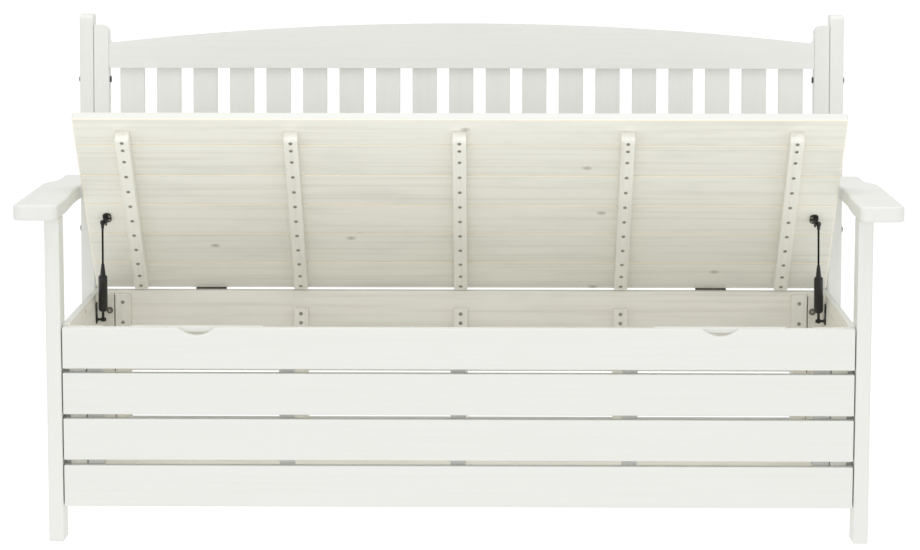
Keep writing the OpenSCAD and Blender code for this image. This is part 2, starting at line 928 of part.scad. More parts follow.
module stay_lid_fitting(s) {
    inner = stay_x - stay_lean - 5.4;
    on_side(s)
        translate([0, lid_fit[0], 0]) {
            board([inner - lug_t - 7.5, -12.5, lid_z - plate_t], [inner + 6, 12.5, lid_z]);
            board([inner - lug_t, -6, lid_fit[1]], [inner, 6, lid_z - plate_t]);
            translate([0, 0, lid_fit[1]])
                rod_along_x(inner - lug_t, inner, 6);
        }
}

module stay_lid_fittings() {
    color(black_steel)
    lid_frame()
        for (s = SIDES)
            stay_lid_fitting(s);
}

front_leg(LEFT);  // front_leg_left
front_leg(RIGHT);  // front_leg_right
rear_leg(LEFT);  // rear_leg_left
rear_leg(RIGHT);  // rear_leg_right
armrest(LEFT);  // armrest_left
armrest(RIGHT);  // armrest_right
front_slat(0);  // front_slat_1
front_slat(1);  // front_slat_2
front_slat(2);  // front_slat_3
front_slat(3);  // front_slat_4
front_cleats();
grip_strips();
side_slat(LEFT, 0);  // side_slat_left_1
side_slat(LEFT, 1);  // side_slat_left_2
side_slat(LEFT, 2);  // side_slat_left_3
side_slat(LEFT, 3);  // side_slat_left_4
side_slat(RIGHT, 0);  // side_slat_right_1
side_slat(RIGHT, 1);  // side_slat_right_2
side_slat(RIGHT, 2);  // side_slat_right_3
side_slat(RIGHT, 3);  // side_slat_right_4
corner_cleats(LEFT);  // corner_cleats_left
corner_cleats(RIGHT);  // corner_cleats_right
rear_slat(0);  // rear_slat_1
rear_slat(1);  // rear_slat_2
rear_slat(2);  // rear_slat_3
rear_slat(3);  // rear_slat_4
rear_cleats();
floor_bearers();
floor_slats();
back_stile(LEFT);  // back_stile_left
back_stile(RIGHT);  // back_stile_right
back_top_rail();
back_bottom_rail();
back_slats();
back_bolts();
back_nuts();
leg_bolts();
corner_bolts();
cleat_screws();
arm_screws();
arm_plugs();
lid_slat(0);  // lid_slat_1
lid_slat(1);  // lid_slat_2
lid_slat(2);  // lid_slat_3
lid_slat(3);  // lid_slat_4
lid_slat(4);  // lid_slat_5
lid_slat(5);  // lid_slat_6
lid_battens();
lid_screws();
hinge_frame_leaves();
hinge_lid_leaves();
hinge_pins();
stay_brackets();
stay_lid_fittings();
stay_tube(LEFT);  // stay_tube_left
stay_tube(RIGHT);  // stay_tube_right
stay_rod(LEFT);  // stay_rod_left
stay_rod(RIGHT);  // stay_rod_right
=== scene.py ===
"""The looks of a slatted garden storage bench: painted pine, steel screws, butt hinges and two lid stays.

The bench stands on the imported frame. Boards are cut again here with eased edges, each with its own run of
wood grain, and take the place of the plain solids that carry the load and the collision.
"""

import json
import logging
import math
import random
from dataclasses import dataclass, field
from enum import Enum
from typing import Any, Iterable, Sequence

import bmesh
import bpy
from mathutils import Matrix, Vector


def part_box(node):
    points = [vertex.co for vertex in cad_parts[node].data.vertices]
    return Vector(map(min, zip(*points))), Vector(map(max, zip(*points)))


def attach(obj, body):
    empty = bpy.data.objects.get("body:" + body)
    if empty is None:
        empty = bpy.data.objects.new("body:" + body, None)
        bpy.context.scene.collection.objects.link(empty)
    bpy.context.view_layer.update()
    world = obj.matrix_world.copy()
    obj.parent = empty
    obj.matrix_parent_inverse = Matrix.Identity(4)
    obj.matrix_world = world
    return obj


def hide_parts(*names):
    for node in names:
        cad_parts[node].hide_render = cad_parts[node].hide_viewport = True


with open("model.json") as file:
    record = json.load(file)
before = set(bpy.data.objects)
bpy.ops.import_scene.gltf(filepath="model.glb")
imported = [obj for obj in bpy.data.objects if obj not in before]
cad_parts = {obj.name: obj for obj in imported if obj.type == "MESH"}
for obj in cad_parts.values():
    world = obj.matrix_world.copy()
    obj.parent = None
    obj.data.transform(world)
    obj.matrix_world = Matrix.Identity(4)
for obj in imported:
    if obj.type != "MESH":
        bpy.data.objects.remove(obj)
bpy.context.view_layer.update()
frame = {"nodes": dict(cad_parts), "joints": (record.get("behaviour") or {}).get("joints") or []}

logging.basicConfig(level=logging.INFO, format="%(message)s")
LOG = logging.getLogger("bench")

MM = 0.001
FLAT = Matrix.Identity(4)
GRAIN_SEED = 1
SHARP_DEGREES = 28
HEAD_SIDES = 24
Point2 = tuple[float, float]
Corner = tuple[float, float, float]


# ---------------------------------------------------------------- small helpers


class Runs(Enum):
    """The local axis that a board's grain runs along."""

    X = 0
    Y = 1
    Z = 2


class Face(Enum):
    """The plane an outline is drawn in, as its two axes and then the axis of its thickness."""

    FRONT = (0, 2, 1)
    SIDE = (1, 2, 0)
    TOP = (0, 1, 2)


class Side(Enum):
    """The two sides of the bench, as the sign of X."""

    LEFT = -1
    RIGHT = 1

    @property
    def word(self) -> str:
        """The side's word in the names of pieces."""
        return self.name.lower()


def linear(hex_colour: str) -> tuple[float, float, float, float]:
    """Turns an sRGB hex colour into linear RGBA.

    Args:
        hex_colour: six hex digits after a hash sign.

    Returns:
        Red, green, blue and full alpha, in linear light.
    """
    values = [int(hex_colour[i : i + 2], 16) / 255 for i in (1, 3, 5)]
    red, green, blue = (v / 12.92 if v <= 0.04045 else ((v + 0.055) / 1.055) ** 2.4 for v in values)
    return red, green, blue, 1.0


def add_node(
    tree: bpy.types.NodeTree, kind: str, inputs: dict[Any, Any] | None = None, **settings: Any
) -> bpy.types.Node:
    """Adds a shader node with its settings and links.

    Args:
        tree: the material's or world's node tree.
        kind: the node's type name.
        inputs: for each socket, by name or number, a value or the socket that feeds it.
        **settings: the node's own properties.

    Returns:
        The new node.
    """
    node = tree.nodes.new(kind)
    for key, value in settings.items():
        setattr(node, key, value)
    for key, value in (inputs or {}).items():
        if isinstance(value, bpy.types.NodeSocket):
            tree.links.new(value, node.inputs[key])
        else:
            node.inputs[key].default_value = value
    return node


def turned(centre: Vector, degrees: float) -> Matrix:
    """A turn about a line along X through a point.

    Args:
        centre: a point on the line, in metres.
        degrees: the turn, by the right-hand rule.

    Returns:
        The matrix of the turn.
    """
    spin = Matrix.Rotation(math.radians(degrees), 4, "X")
    return Matrix.Translation(centre) @ spin @ Matrix.Translation(-centre)


def facing(at: Vector, normal: Vector, spin: float = 0.0) -> Matrix:
    """A place at a point with local Z along a normal.

    Args:
        at: the point, in metres.
        normal: the direction of local Z.
        spin: the turn about that direction, in radians.

    Returns:
        The matrix of the place.
    """
    look = normal.to_track_quat("Z", "Y").to_matrix().to_4x4()
    return Matrix.Translation(at) @ look @ Matrix.Rotation(spin, 4, "Z")


def rounded(corners: Sequence[Corner], steps: int = 6) -> list[Point2]:
    """Draws an outline with round corners.

    Args:
        corners: each corner's two coordinates and its radius, in millimetres.
        steps: the number of straight pieces in each round corner.

    Returns:
        The outline's points, in millimetres.
    """
    points: list[Point2] = []
    count = len(corners)
    for i, (x, y, radius) in enumerate(corners):
        here = Vector((x, y))
        if radius == 0:
            points.append((x, y))
            continue
        before = (Vector(corners[i - 1][:2]) - here).normalized()
        after = (Vector(corners[(i + 1) % count][:2]) - here).normalized()
        half = before.angle(after) / 2
        centre = here + (before + after).normalized() * radius / math.sin(half)
        start = here + before * radius / math.tan(half) - centre
        end = here + after * radius / math.tan(half) - centre
        sweep = start.angle_signed(end)
        for step in range(steps + 1):
            turn = -sweep * step / steps
            c, s = math.cos(turn), math.sin(turn)
            points.append((centre.x + start.x * c - start.y * s, centre.y + start.x * s + start.y * c))
    return points


def solid_boxes(node: str, place: Matrix = FLAT) -> list[tuple[Vector, Vector]]:
    """The boxes of the separate solids in a node of the frame.

    Args:
        node: the node's name.
        place: the leaning or open frame that the boxes are measured in.

    Returns:
        For each solid, its lowest and highest corner in that frame, from left to right, in metres.
    """
    bm = bmesh.new()
    bm.from_mesh(frame["nodes"][node].data)
    bmesh.ops.remove_doubles(bm, verts=bm.verts, dist=1e-6)
    inverse = place.inverted()
    seen: set[int] = set()
    boxes = []
    for seed in bm.verts:
        if seed.index in seen:
            continue
        seen.add(seed.index)
        heap, solid = [seed], []
        while heap:
            vert = heap.pop()
            solid.append(inverse @ vert.co)
            for edge in vert.link_edges:
                other = edge.other_vert(vert)
                if other.index not in seen:
                    seen.add(other.index)
                    heap.append(other)
        low, high = (Vector([limit(p[k] for p in solid) for k in range(3)]) for limit in (min, max))
        boxes.append((low, high))
    bm.free()
    return sorted(boxes, key=lambda box: (round(box[0].x, 4), round(box[0].y, 4), round(box[0].z, 4)))


def joint(name: str) -> dict[str, Any]:
    """A joint of the frame by its name."""
    return next(j for j in frame["joints"] if j["name"] == name)


def end_side(low: Vector, high: Vector, inset_mm: float = 0.0) -> tuple[Vector, Vector]:
    """The inner end of a screw or bolt in the front or rear wall, which points into the box.

    Args:
        low: its lowest corner, in metres.
        high: its highest corner, in metres.
        inset_mm: how far back from that end the place is taken.

    Returns:
        The middle of the end, and the direction that it faces.
    """
    inward = 1 if low.y + high.y < 0 else -1
    middle = (low + high) / 2
    middle.y = (high.y if inward > 0 else low.y) - inward * inset_mm * MM
    return middle, Vector((0, inward, 0))


# ---------------------------------------------------------------- finishes


class Finish:
    """A surface finish that makes its material once and then shares it."""

    name: str

    def material(self) -> bpy.types.Material:
        """Makes the finish's material the first time it is asked for.

        Returns:
            The material, the same one each time.
        """
        found = bpy.data.materials.get(self.name)
        if found is None:
            found = bpy.data.materials.new(self.name)
            found.use_nodes = True
            found.node_tree.nodes.clear()
            shader = self.shade(found.node_tree)
            add_node(found.node_tree, "ShaderNodeOutputMaterial", {"Surface": shader.outputs[0]})
        return found

    def shade(self, tree: bpy.types.NodeTree) -> bpy.types.Node:
        """Builds the finish's nodes and returns the shader."""
        raise NotImplementedError


@dataclass(frozen=True)
class PaintedPine(Finish):
    """Pine board, planed, primed and brushed with satin acrylic paint.

    The paint is opaque and soft in its shine, so a board reads as one even tone. The grain stands about a
    tenth of a millimetre proud under it, drawn a little coarser than it is so that it shows, and knots bleed
    through where the coat is thin.
    """

    name: str
    paint: str
    thin_paint: str
    knot: str = "#b9a98a"
    smudge: str = "#d9d8d0"
    grain_share: float = 0.25
    smudge_share: float = 0.2
    knot_share: float = 0.0
    tone_spread: float = 0.03
    rough: float = 0.45
    grain_depth_mm: float = 0.12
    ring_mm: float = 9.0
    ring_length_mm: float = 420.0
    brush_mm: float = 3.5
    brush_length_mm: float = 160.0
    cloud_mm: float = 60.0
    cloud_length_mm: float = 190.0
    knot_apart_mm: tuple[float, float] = (260.0, 150.0)

    def _noise(
        self, tree: bpy.types.NodeTree, along_mm: float, across_mm: float, detail: float
    ) -> bpy.types.NodeSocket:
        """A cloud pattern stretched along the board.

        Args:
            tree: the material's node tree.
            along_mm: the pattern's size along the grain.
            across_mm: its size across the grain.
            detail: how fine its smaller parts get.

        Returns:
            The pattern's value socket.
        """
        board = add_node(tree, "ShaderNodeAttribute", attribute_name="grain_mm")
        scale = (1 / along_mm, 1 / across_mm, 1 / across_mm)
        inputs = {0: board.outputs["Vector"], 1: scale}
        sized = add_node(tree, "ShaderNodeVectorMath", inputs, operation="MULTIPLY")
        inputs = {"Vector": sized.outputs[0], "Scale": 1.0, "Detail": detail, "Roughness": 0.55}
        return add_node(tree, "ShaderNodeTexNoise", inputs).outputs[0]

    def _knots(self, tree: bpy.types.NodeTree) -> bpy.types.NodeSocket:
        """Oval knots about 14 mm long, in a few of the places where one could be.

        Args:
            tree: the material's node tree.

        Returns:
            A share that is 1 in the heart of a knot.
        """
        board = add_node(tree, "ShaderNodeAttribute", attribute_name="grain_mm")
        along, across = self.knot_apart_mm
        inputs = {0: board.outputs["Vector"], 1: (1 / along, 1 / across, 0.0)}
        sized = add_node(tree, "ShaderNodeVectorMath", inputs, operation="MULTIPLY")
        inputs = {"Vector": sized.outputs[0], "Scale": 1.0}
        cells = add_node(tree, "ShaderNodeTexVoronoi", inputs, voronoi_dimensions="2D")
        pick = add_node(tree, "ShaderNodeSeparateColor", {0: cells.outputs["Color"]})
        clear = 1.0 - self.knot_share
        parts = []
        for value, none, full in (
            (cells.outputs["Distance"], 0.045, 0.01),
            (pick.outputs[0], clear, clear + 0.001),
        ):
            inputs = {"Value": value, "From Min": none, "From Max": full}
            parts.append(add_node(tree, "ShaderNodeMapRange", inputs).outputs[0])
        return add_node(tree, "ShaderNodeMath", {0: parts[0], 1: parts[1]}, operation="MULTIPLY").outputs[0]

    def shade(self, tree: bpy.types.NodeTree) -> bpy.types.Node:
        """Builds the paint over the grain.

        Args:
            tree: the material's node tree.

        Returns:
            The principled shader.
        """
        rings = self._noise(tree, self.ring_length_mm, self.ring_mm, 5.0)
        brush = self._noise(tree, self.brush_length_mm, self.brush_mm, 3.0)
        cloud = self._noise(tree, self.cloud_length_mm, self.cloud_mm, 3.0)
        layers = [
            (rings, 0.48, 0.72, self.grain_share, self.thin_paint),
            (cloud, 0.5, 0.78, self.smudge_share, self.smudge),
        ]
        if self.knot_share > 0:
            layers.append((self._knots(tree), 0.0, 1.0, 0.55, self.knot))
        colour: Any = linear(self.paint)
        for pattern, none, full, most, over in layers:
            inputs = {"Value": pattern, "From Min": none, "From Max": full, "To Max": most}
            share = add_node(tree, "ShaderNodeMapRange", inputs).outputs[0]
            inputs = {0: share, 6: colour, 7: linear(over)}
            colour = add_node(tree, "ShaderNodeMix", inputs, data_type="RGBA").outputs[2]
        tone = add_node(tree, "ShaderNodeAttribute", attribute_name="tone")
        inputs = {"Value": tone.outputs["Fac"], "To Min": 1.0 - self.tone_spread}
        level = add_node(tree, "ShaderNodeMapRange", inputs).outputs[0]
        colour = add_node(tree, "ShaderNodeVectorMath", {0: colour, "Scale": level}, operation="SCALE")
        inputs = {"Value": brush, "From Min": 0.3, "From Max": 0.7}
        inputs |= {"To Min": self.rough - 0.05, "To Max": self.rough + 0.07}
        rough = add_node(tree, "ShaderNodeMapRange", inputs)
        depth = self.grain_depth_mm * MM
        raised = add_node(tree, "ShaderNodeBump", {"Strength": 0.6, "Distance": depth * 4, "Height": rings})
        inputs = {"Strength": 0.5, "Distance": depth, "Height": brush, "Normal": raised.outputs[0]}
        stroked = add_node(tree, "ShaderNodeBump", inputs)
        inputs = {"Base Color": colour.outputs[0], "Roughness": rough.outputs[0]}
        inputs |= {"IOR": 1.46, "Specular IOR Level": 0.4, "Normal": stroked.outputs[0]}
        return add_node(tree, "ShaderNodeBsdfPrincipled", inputs)


@dataclass(frozen=True)
class Steel(Finish):
    """Steel part, plated or coated: a fine mottle in its shine, and a little grime in it."""

    name: str
    colour: str
    grime: str
    metallic: float
    rough: float
    mottle_mm: float = 4.0
    bump_mm: float = 0.03

    def shade(self, tree: bpy.types.NodeTree) -> bpy.types.Node:
        """Builds the metal or its coat.

        Args:
            tree: the material's node tree.

        Returns:
            The principled shader.
        """
        place = add_node(tree, "ShaderNodeTexCoord")
        inputs = {"Vector": place.outputs["Object"], "Scale": 1 / (self.mottle_mm * MM), "Detail": 4.0}
        mottle = add_node(tree, "ShaderNodeTexNoise", inputs).outputs[0]
        inputs = {"Value": mottle, "From Min": 0.4, "From Max": 0.75, "To Max": 0.5}
        share = add_node(tree, "ShaderNodeMapRange", inputs)
        inputs = {0: share.outputs[0], 6: linear(self.colour), 7: linear(self.grime)}
        colour = add_node(tree, "ShaderNodeMix", inputs, data_type="RGBA")
        inputs = {"Value": mottle, "To Min": self.rough - 0.08, "To Max": self.rough + 0.1}
        rough = add_node(tree, "ShaderNodeMapRange", inputs)
        inputs = {"Strength": 0.4, "Distance": self.bump_mm * MM, "Height": mottle}
        bump = add_node(tree, "ShaderNodeBump", inputs)
        inputs = {"Base Color": colour.outputs[2], "Roughness": rough.outputs[0]}
        inputs |= {"Normal": bump.outputs[0], "Metallic": self.metallic}
        return add_node(tree, "ShaderNodeBsdfPrincipled", inputs)


@dataclass(frozen=True)
class LitAcrylic(Finish):
    """White acrylic floor of a shooting table, lit from below so that shadows stay faint."""

    name: str = "lit_white_acrylic"
    colour: str = "#636362"
    cloud: str = "#60605f"
    glow: float = 0.93

    def shade(self, tree: bpy.types.NodeTree) -> bpy.types.Node:
        """Builds the acrylic.

        Args:
            tree: the material's node tree.

        Returns:
            The principled shader.
        """
        place = add_node(tree, "ShaderNodeTexCoord")
        inputs = {"Vector": place.outputs["Object"], "Scale": 1.5, "Detail": 3.0}
        cloud = add_node(tree, "ShaderNodeTexNoise", inputs)
        inputs = {0: cloud.outputs[0], 6: linear(self.colour), 7: linear(self.cloud)}
        colour = add_node(tree, "ShaderNodeMix", inputs, data_type="RGBA")
        inputs = {"Base Color": colour.outputs[2], "Roughness": 0.9}
        inputs |= {"Emission Color": (1.0, 1.0, 1.0, 1.0), "Emission Strength": self.glow}
        return add_node(tree, "ShaderNodeBsdfPrincipled", inputs)


# Two full coats of satin white: even, faintly grey-green, with hardly any grain to be seen.
OUTER_PAINT = PaintedPine(
    "white_satin_paint_on_pine", "#e4e5e0", "#d8d9d2", grain_share=0.2, smudge_share=0.12
)
# One thin coat on the lid's underside: the grain shows as warm streaks, with a few grey-brown knots.
LID_PAINT = PaintedPine(
    "thin_white_paint_on_lid",
    "#f5f4eb",
    "#d3cebf",
    smudge="#c9c9c1",
    knot="#8f887a",
    grain_share=0.3,
    smudge_share=0.22,
    knot_share=0.55,
    tone_spread=0.035,
    rough=0.55,
)
# The same thin coat inside the box, a little duller and more uneven from board to board.
INNER_PAINT = PaintedPine(
    "thin_cream_paint_in_box",
    "#faf8f0",
    "#d5cfc0",
    smudge="#c9c9c1",
    knot="#8f887a",
    grain_share=0.3,
    smudge_share=0.25,
    knot_share=0.3,
    tone_spread=0.045,
    rough=0.6,
)
# Painted highlight along the lid's seams: a brighter paint on the eased edges of the underside, a pale line
# where each seam catches the light.
SEAM_HIGHLIGHT_PAINT = PaintedPine("paint_run_into_seams", "#fff7e4", "#f6edd8", grain_share=0.2, smudge_share=0.05)
# Zinc plate on screws: bright grey with dull spots.
ZINC = Steel("zinc_plated_steel", "#b9b6ae", "#8a857b", metallic=1.0, rough=0.42)
# Powder coat on the stays: near black, with a fine orange peel in its soft highlight.
BLACK = Steel("black_powder_coated_steel", "#1b1b1c", "#232322", metallic=0.0, rough=0.38, bump_mm=0.06)
# Nitrided rod, ground smooth: a narrow sharp highlight on dark metal.
ROD = Steel("black_nitrided_steel_rod", "#2c2c2d", "#1d1d1e", metallic=1.0, rough=0.3, bump_mm=0.01)
# Zinc painted darker than on the screws, as painted shade: the hinges in the shade of their gap, and the dark
# ring of a corner bolt's head round its socket.
SHADE_DARKENED_ZINC = Steel("dull_zinc_hinge_steel", "#85827b", "#5b5750", metallic=1.0, rough=0.5)
# Painted highlight in the socket of a bolt: a pale colour in place of the light that its zinc reflects.
SOCKET_HIGHLIGHT = Steel("bright_bolt_socket", "#d6d3cb", "#b3afa5", metallic=0.3, rough=0.35)
# Grime and painted shade round a screw head and in its recess: a dark matt ring, and the recess painted dark
# as its shade.
RECESS_SHADE_AND_GRIME = Steel("dirt_round_screw_heads", "#6a645a", "#544f47", metallic=0.0, rough=0.8)


# ---------------------------------------------------------------- cutting and turning


def ease_edges(bm: bmesh.types.BMesh, ease_mm: float, steps: int = 2) -> bmesh.types.BMesh:
    """Rounds the sharp edges of a board, as sanding leaves them.

    Args:
        bm: the board.
        ease_mm: the width taken off each edge.
        steps: the number of facets in each rounding.

    Returns:
        The same board.
    """
    bmesh.ops.recalc_face_normals(bm, faces=bm.faces)
    sharp = [e for e in bm.edges if e.calc_face_angle(0.0) > math.radians(SHARP_DEGREES)]
    bmesh.ops.bevel(
        bm, geom=sharp, offset=ease_mm * MM, segments=steps, profile=0.5, affect="EDGES", clamp_overlap=True
    )
    return bm


def cut_board(low: Vector, high: Vector, ease_mm: float = 1.6, steps: int = 2) -> bmesh.types.BMesh:
    """Cuts a straight board.

    Args:
        low: its lowest corner, in metres.
        high: its highest corner, in metres.
        ease_mm: the width of its eased edges.
        steps: the number of facets in each rounding.

    Returns:
        The board.
    """
    bm = bmesh.new()
    bmesh.ops.create_cube(bm, size=1.0)
    for vert in bm.verts:
        for k in range(3):
            vert.co[k] = high[k] if vert.co[k] > 0 else low[k]
    return ease_edges(bm, ease_mm, steps)


def cut_plate(
    outline_mm: Sequence[Point2], low: float, high: float, face: Face, ease_mm: float = 1.6, steps: int = 2
) -> bmesh.types.BMesh:
    """Cuts a board to an outline.

    Args:
        outline_mm: the outline's points, in millimetres.
        low: where its thickness starts, in metres.
        high: where its thickness ends, in metres.
        face: the plane of the outline.
        ease_mm: the width of its eased edges.
        steps: the number of facets in each rounding.

    Returns:
        The board.
    """
    bm = bmesh.new()
    first, second, depth = face.value
    rings = []
    for level in (low, high):
        ring = []
        for u, v in outline_mm:
            at = Vector((0.0, 0.0, 0.0))
            at[first], at[second], at[depth] = u * MM, v * MM, level
            ring.append(bm.verts.new(at))
        rings.append(ring)
        bm.faces.new(ring)
    count = len(outline_mm)
    for i in range(count):
        j = (i + 1) % count
        bm.faces.new((rings[0][i], rings[0][j], rings[1][j], rings[1][i]))
    return ease_edges(bm, ease_mm, steps)


def ring(bm: bmesh.types.BMesh, radius_mm: float, z_mm: float, sides: int) -> list[bmesh.types.BMVert]:
    """Adds a ring of points round local Z.

    Args:
        bm: the part in the making.
        radius_mm: the ring's radius.
        z_mm: its height.
        sides: the number of points.

    Returns:
        The points, in order.
    """
    radius, turns = radius_mm * MM, [math.tau * k / sides for k in range(sides)]
    return [bm.verts.new((radius * math.cos(a), radius * math.sin(a), z_mm * MM)) for a in turns]


def turn(profile_mm: Sequence[Point2], sides: int = 32) -> bmesh.types.BMesh:
    """Turns a profile round local Z.

    Args:
        profile_mm: distance along Z and radius of each ring, in millimetres.
        sides: the number of sides.

    Returns:
        The turned part, closed at both ends.
    """
    bm = bmesh.new()
    rings = [ring(bm, radius, z, sides) for z, radius in profile_mm]
    for lower, upper in zip(rings, rings[1:]):
        for k in range(sides):
            n = (k + 1) % sides
            bm.faces.new((lower[k], lower[n], upper[n], upper[k]))
    bm.faces.new(rings[0])
    bm.faces.new(rings[-1])
    bmesh.ops.recalc_face_normals(bm, faces=bm.faces)
    return bm


def star(arm_mm: float, half_mm: float) -> list[Point2]:
    """Draws a cross recess.

    Args:
        arm_mm: the length of each arm from the middle.
        half_mm: half the width of an arm.

    Returns:
        The outline's points, in millimetres.
    """
    quarter = [(arm_mm, -half_mm), (arm_mm, half_mm), (half_mm, half_mm)]
    points = []
    for k in range(4):
        c, s = round(math.cos(k * math.pi / 2)), round(math.sin(k * math.pi / 2))
        points += [(c * x - s * y, s * x + c * y) for x, y in quarter]
    return points


def hexagon(radius_mm: float) -> list[Point2]:
    """Draws a hexagon socket of a radius, in millimetres."""
    return [(radius_mm * math.cos(math.pi * k / 3), radius_mm * math.sin(math.pi * k / 3)) for k in range(6)]


def driven_head(
    radius_mm: float, proud_mm: float, recess: Sequence[Point2], depth_mm: float, shoulder_mm: float
) -> tuple[bmesh.types.BMesh, bmesh.types.BMesh]:
    """Makes the head of a screw or bolt, standing on local Z = 0.

    Args:
        radius_mm: the head's radius.
        proud_mm: how far its face stands out.
        recess: the outline of the recess for the tool.
        depth_mm: the depth of the recess.
        shoulder_mm: how much smaller the face is than the head, in radius.

    Returns:
        The head, and the inside of its recess.
    """
    head, inside = bmesh.new(), bmesh.new()
    rim = ring(head, radius_mm - shoulder_mm, proud_mm, HEAD_SIDES)
    mouth = [head.verts.new((x * MM, y * MM, proud_mm * MM)) for x, y in recess]
    edges = [head.edges.new((loop[i - 1], loop[i])) for loop in (rim, mouth) for i in range(len(loop))]
    bmesh.ops.triangle_fill(head, edges=edges, use_beauty=True)
    below = [(radius_mm - shoulder_mm * 0.3, proud_mm * 0.7), (radius_mm, proud_mm * 0.2), (radius_mm, -0.3)]
    rows = [rim, *(ring(head, radius, z, HEAD_SIDES) for radius, z in below)]
    for upper, lower in zip(rows, rows[1:]):
        for i in range(HEAD_SIDES):
            head.faces.new((upper[i - 1], upper[i], lower[i], lower[i - 1]))
    bmesh.ops.recalc_face_normals(head, faces=head.faces)
    top = [inside.verts.new((x * MM, y * MM, proud_mm * MM)) for x, y in recess]
    low = [inside.verts.new((x * 0.85 * MM, y * 0.85 * MM, (proud_mm - depth_mm) * MM)) for x, y in recess]
    for i in range(len(top)):
        inside.faces.new((top[i], top[i - 1], low[i - 1], low[i]))
    inside.faces.new(low)
    return head, inside


def screw_parts(radius_mm: float = 3.3) -> list[tuple[bmesh.types.BMesh, int]]:
    """Makes a countersunk screw head and the dark line round it, grime and painted shade.

    Args:
        radius_mm: the head's radius.

    Returns:
        Each part with the number of its finish: 0 for steel, 1 for grime and painted shade.
    """
    head, inside = driven_head(radius_mm, 0.3, star(radius_mm * 0.52, radius_mm * 0.15), 1.0, 0.25)
    # The ring round the head and the recess take finish 1: painted shade, with some grime.
    grime_and_shade_ring = turn([(-0.2, radius_mm * 1.12), (0.05, radius_mm * 1.12), (0.08, radius_mm)], HEAD_SIDES)
    return [(head, 0), (inside, 1), (grime_and_shade_ring, 1)]


class Workpiece:
    """One mesh in the making: parts are added to it, and it is then dressed and set on its body."""

    def __init__(self, name: str) -> None:
        """Starts an empty piece.

        Args:
            name: the piece's name, from which its random grain and tones also start.
        """
        self.name = name
        self._random = random.Random(f"{name}{GRAIN_SEED}")
        self._points: list[Vector] = []
        self._faces: list[list[int]] = []
        self._finish: list[int] = []
        self._grain: list[Vector] = []
        self._tone: list[float] = []

    def take(
        self,
        bm: bmesh.types.BMesh,
        place: Matrix = FLAT,
        runs: Runs = Runs.X,
        finish: int = 0,
        thin_side: Vector | None = None,
        highlight_edges: bool = False,
    ) -> "Workpiece":
        """Adds a part and lays its grain.

        Args:
            bm: the part, which is used up.
            place: where it goes.
            runs: the local axis its grain runs along.
            finish: the number of its finish.
            thin_side: the local direction of the face that gets the next finish instead.
            highlight_edges: whether the eased edges of that face get the finish after the next, a painted
                highlight.

        Returns:
            The same piece.
        """
        first = runs.value
        spans = [max(v.co[k] for v in bm.verts) - min(v.co[k] for v in bm.verts) for k in range(3)]
        order = [first, *sorted((k for k in range(3) if k != first), key=lambda k: -spans[k])]
        shift = Vector([self._random.uniform(-4000, 4000) for _ in range(3)])
        tone = self._random.random()
        start = len(self._points)
        bm.verts.ensure_lookup_table()
        bm.verts.index_update()
        bm.normal_update()
        for vert in bm.verts:
            self._points.append(place @ vert.co)
            self._grain.append(Vector([vert.co[k] / MM for k in order]) + shift)
            self._tone.append(tone)
        for polygon in bm.faces:
            self._faces.append([start + v.index for v in polygon.verts])
            toward = polygon.normal.dot(thin_side) if thin_side else 0.0
            self._finish.append(finish + (1 if toward > 0.9 else 2 if highlight_edges and toward > 0.5 else 0))
        bm.free()
        return self

    def take_all(
        self, parts: Sequence[tuple[bmesh.types.BMesh, int]], place: Matrix, first: int = 0
    ) -> "Workpiece":
        """Adds several parts in one place.

        Args:
            parts: each part with the number of its finish.
            place: where they go.
            first: the number that stands for finish 0.

        Returns:
            The same piece.
        """
        for part, finish in parts:
            self.take(part, place, finish=first + finish)
        return self

    def set_down(
        self, body: str, slot: str, finishes: Sequence[Finish], stands_for: Iterable[str] = ()
    ) -> bpy.types.Object:
        """Makes the object, dresses it and sets it on its body.

        Args:
            body: the name of the body that it rides on.
            slot: the record's material slot for it; not used.
            finishes: its finishes, by number.
            stands_for: the frame's nodes that it takes the place of.

        Returns:
            The new object.
        """
        mesh = bpy.data.meshes.new(self.name)
        mesh.from_pydata(self._points, [], self._faces)
        grain = mesh.attributes.new("grain_mm", "FLOAT_VECTOR", "POINT")
        grain.data.foreach_set("vector", [c for v in self._grain for c in v])
        mesh.attributes.new("tone", "FLOAT", "POINT").data.foreach_set("value", self._tone)
        for finish in finishes:
            mesh.materials.append(finish.material())
        mesh.polygons.foreach_set("material_index", self._finish)
        mesh.polygons.foreach_set("use_smooth", [True] * len(self._faces))
        mesh.set_sharp_from_angle(angle=math.radians(50))
        made = bpy.data.objects.new(self.name, mesh)
        bpy.context.scene.collection.objects.link(made)
        normals = made.modifiers.new("flat_faces", "WEIGHTED_NORMAL")
        normals.keep_sharp = True
        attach(made, body)
        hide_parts(*stands_for)
        LOG.info("%s: %d faces on %s", self.name, len(self._faces), body)
        return made


def cut_straight(
    name: str, node: str, slot: str, finish: Finish, ease_mm: float, place: Matrix = FLAT
) -> None:
    """Cuts one piece of straight boards in place of the solids of a node on the bench's own body.

    Args:
        name: the piece's name.
        node: the frame's node.
        slot: the record's material slot for it.
        finish: its finish.
        ease_mm: the width of its eased edges.
        place: the leaning frame that the boards are straight in.
    """
    piece = Workpiece(name)
    for low, high in solid_boxes(node, place):
        size = high - low
        longest = max(range(3), key=lambda k: size[k])
        piece.take(cut_board(low, high, ease_mm), place, Runs(longest))
    piece.set_down("frame", slot, [finish], [node])


def dress_node(node: str, finish: Finish) -> None:
    """Gives a node of the frame its finish.

    Args:
        node: the node's name.
        finish: its finish.
    """
    shown = frame["nodes"][node]
    shown.data.materials.clear()
    shown.data.materials.append(finish.material())
    LOG.info("%s: dressed", node)


# ---------------------------------------------------------------- sub-assemblies


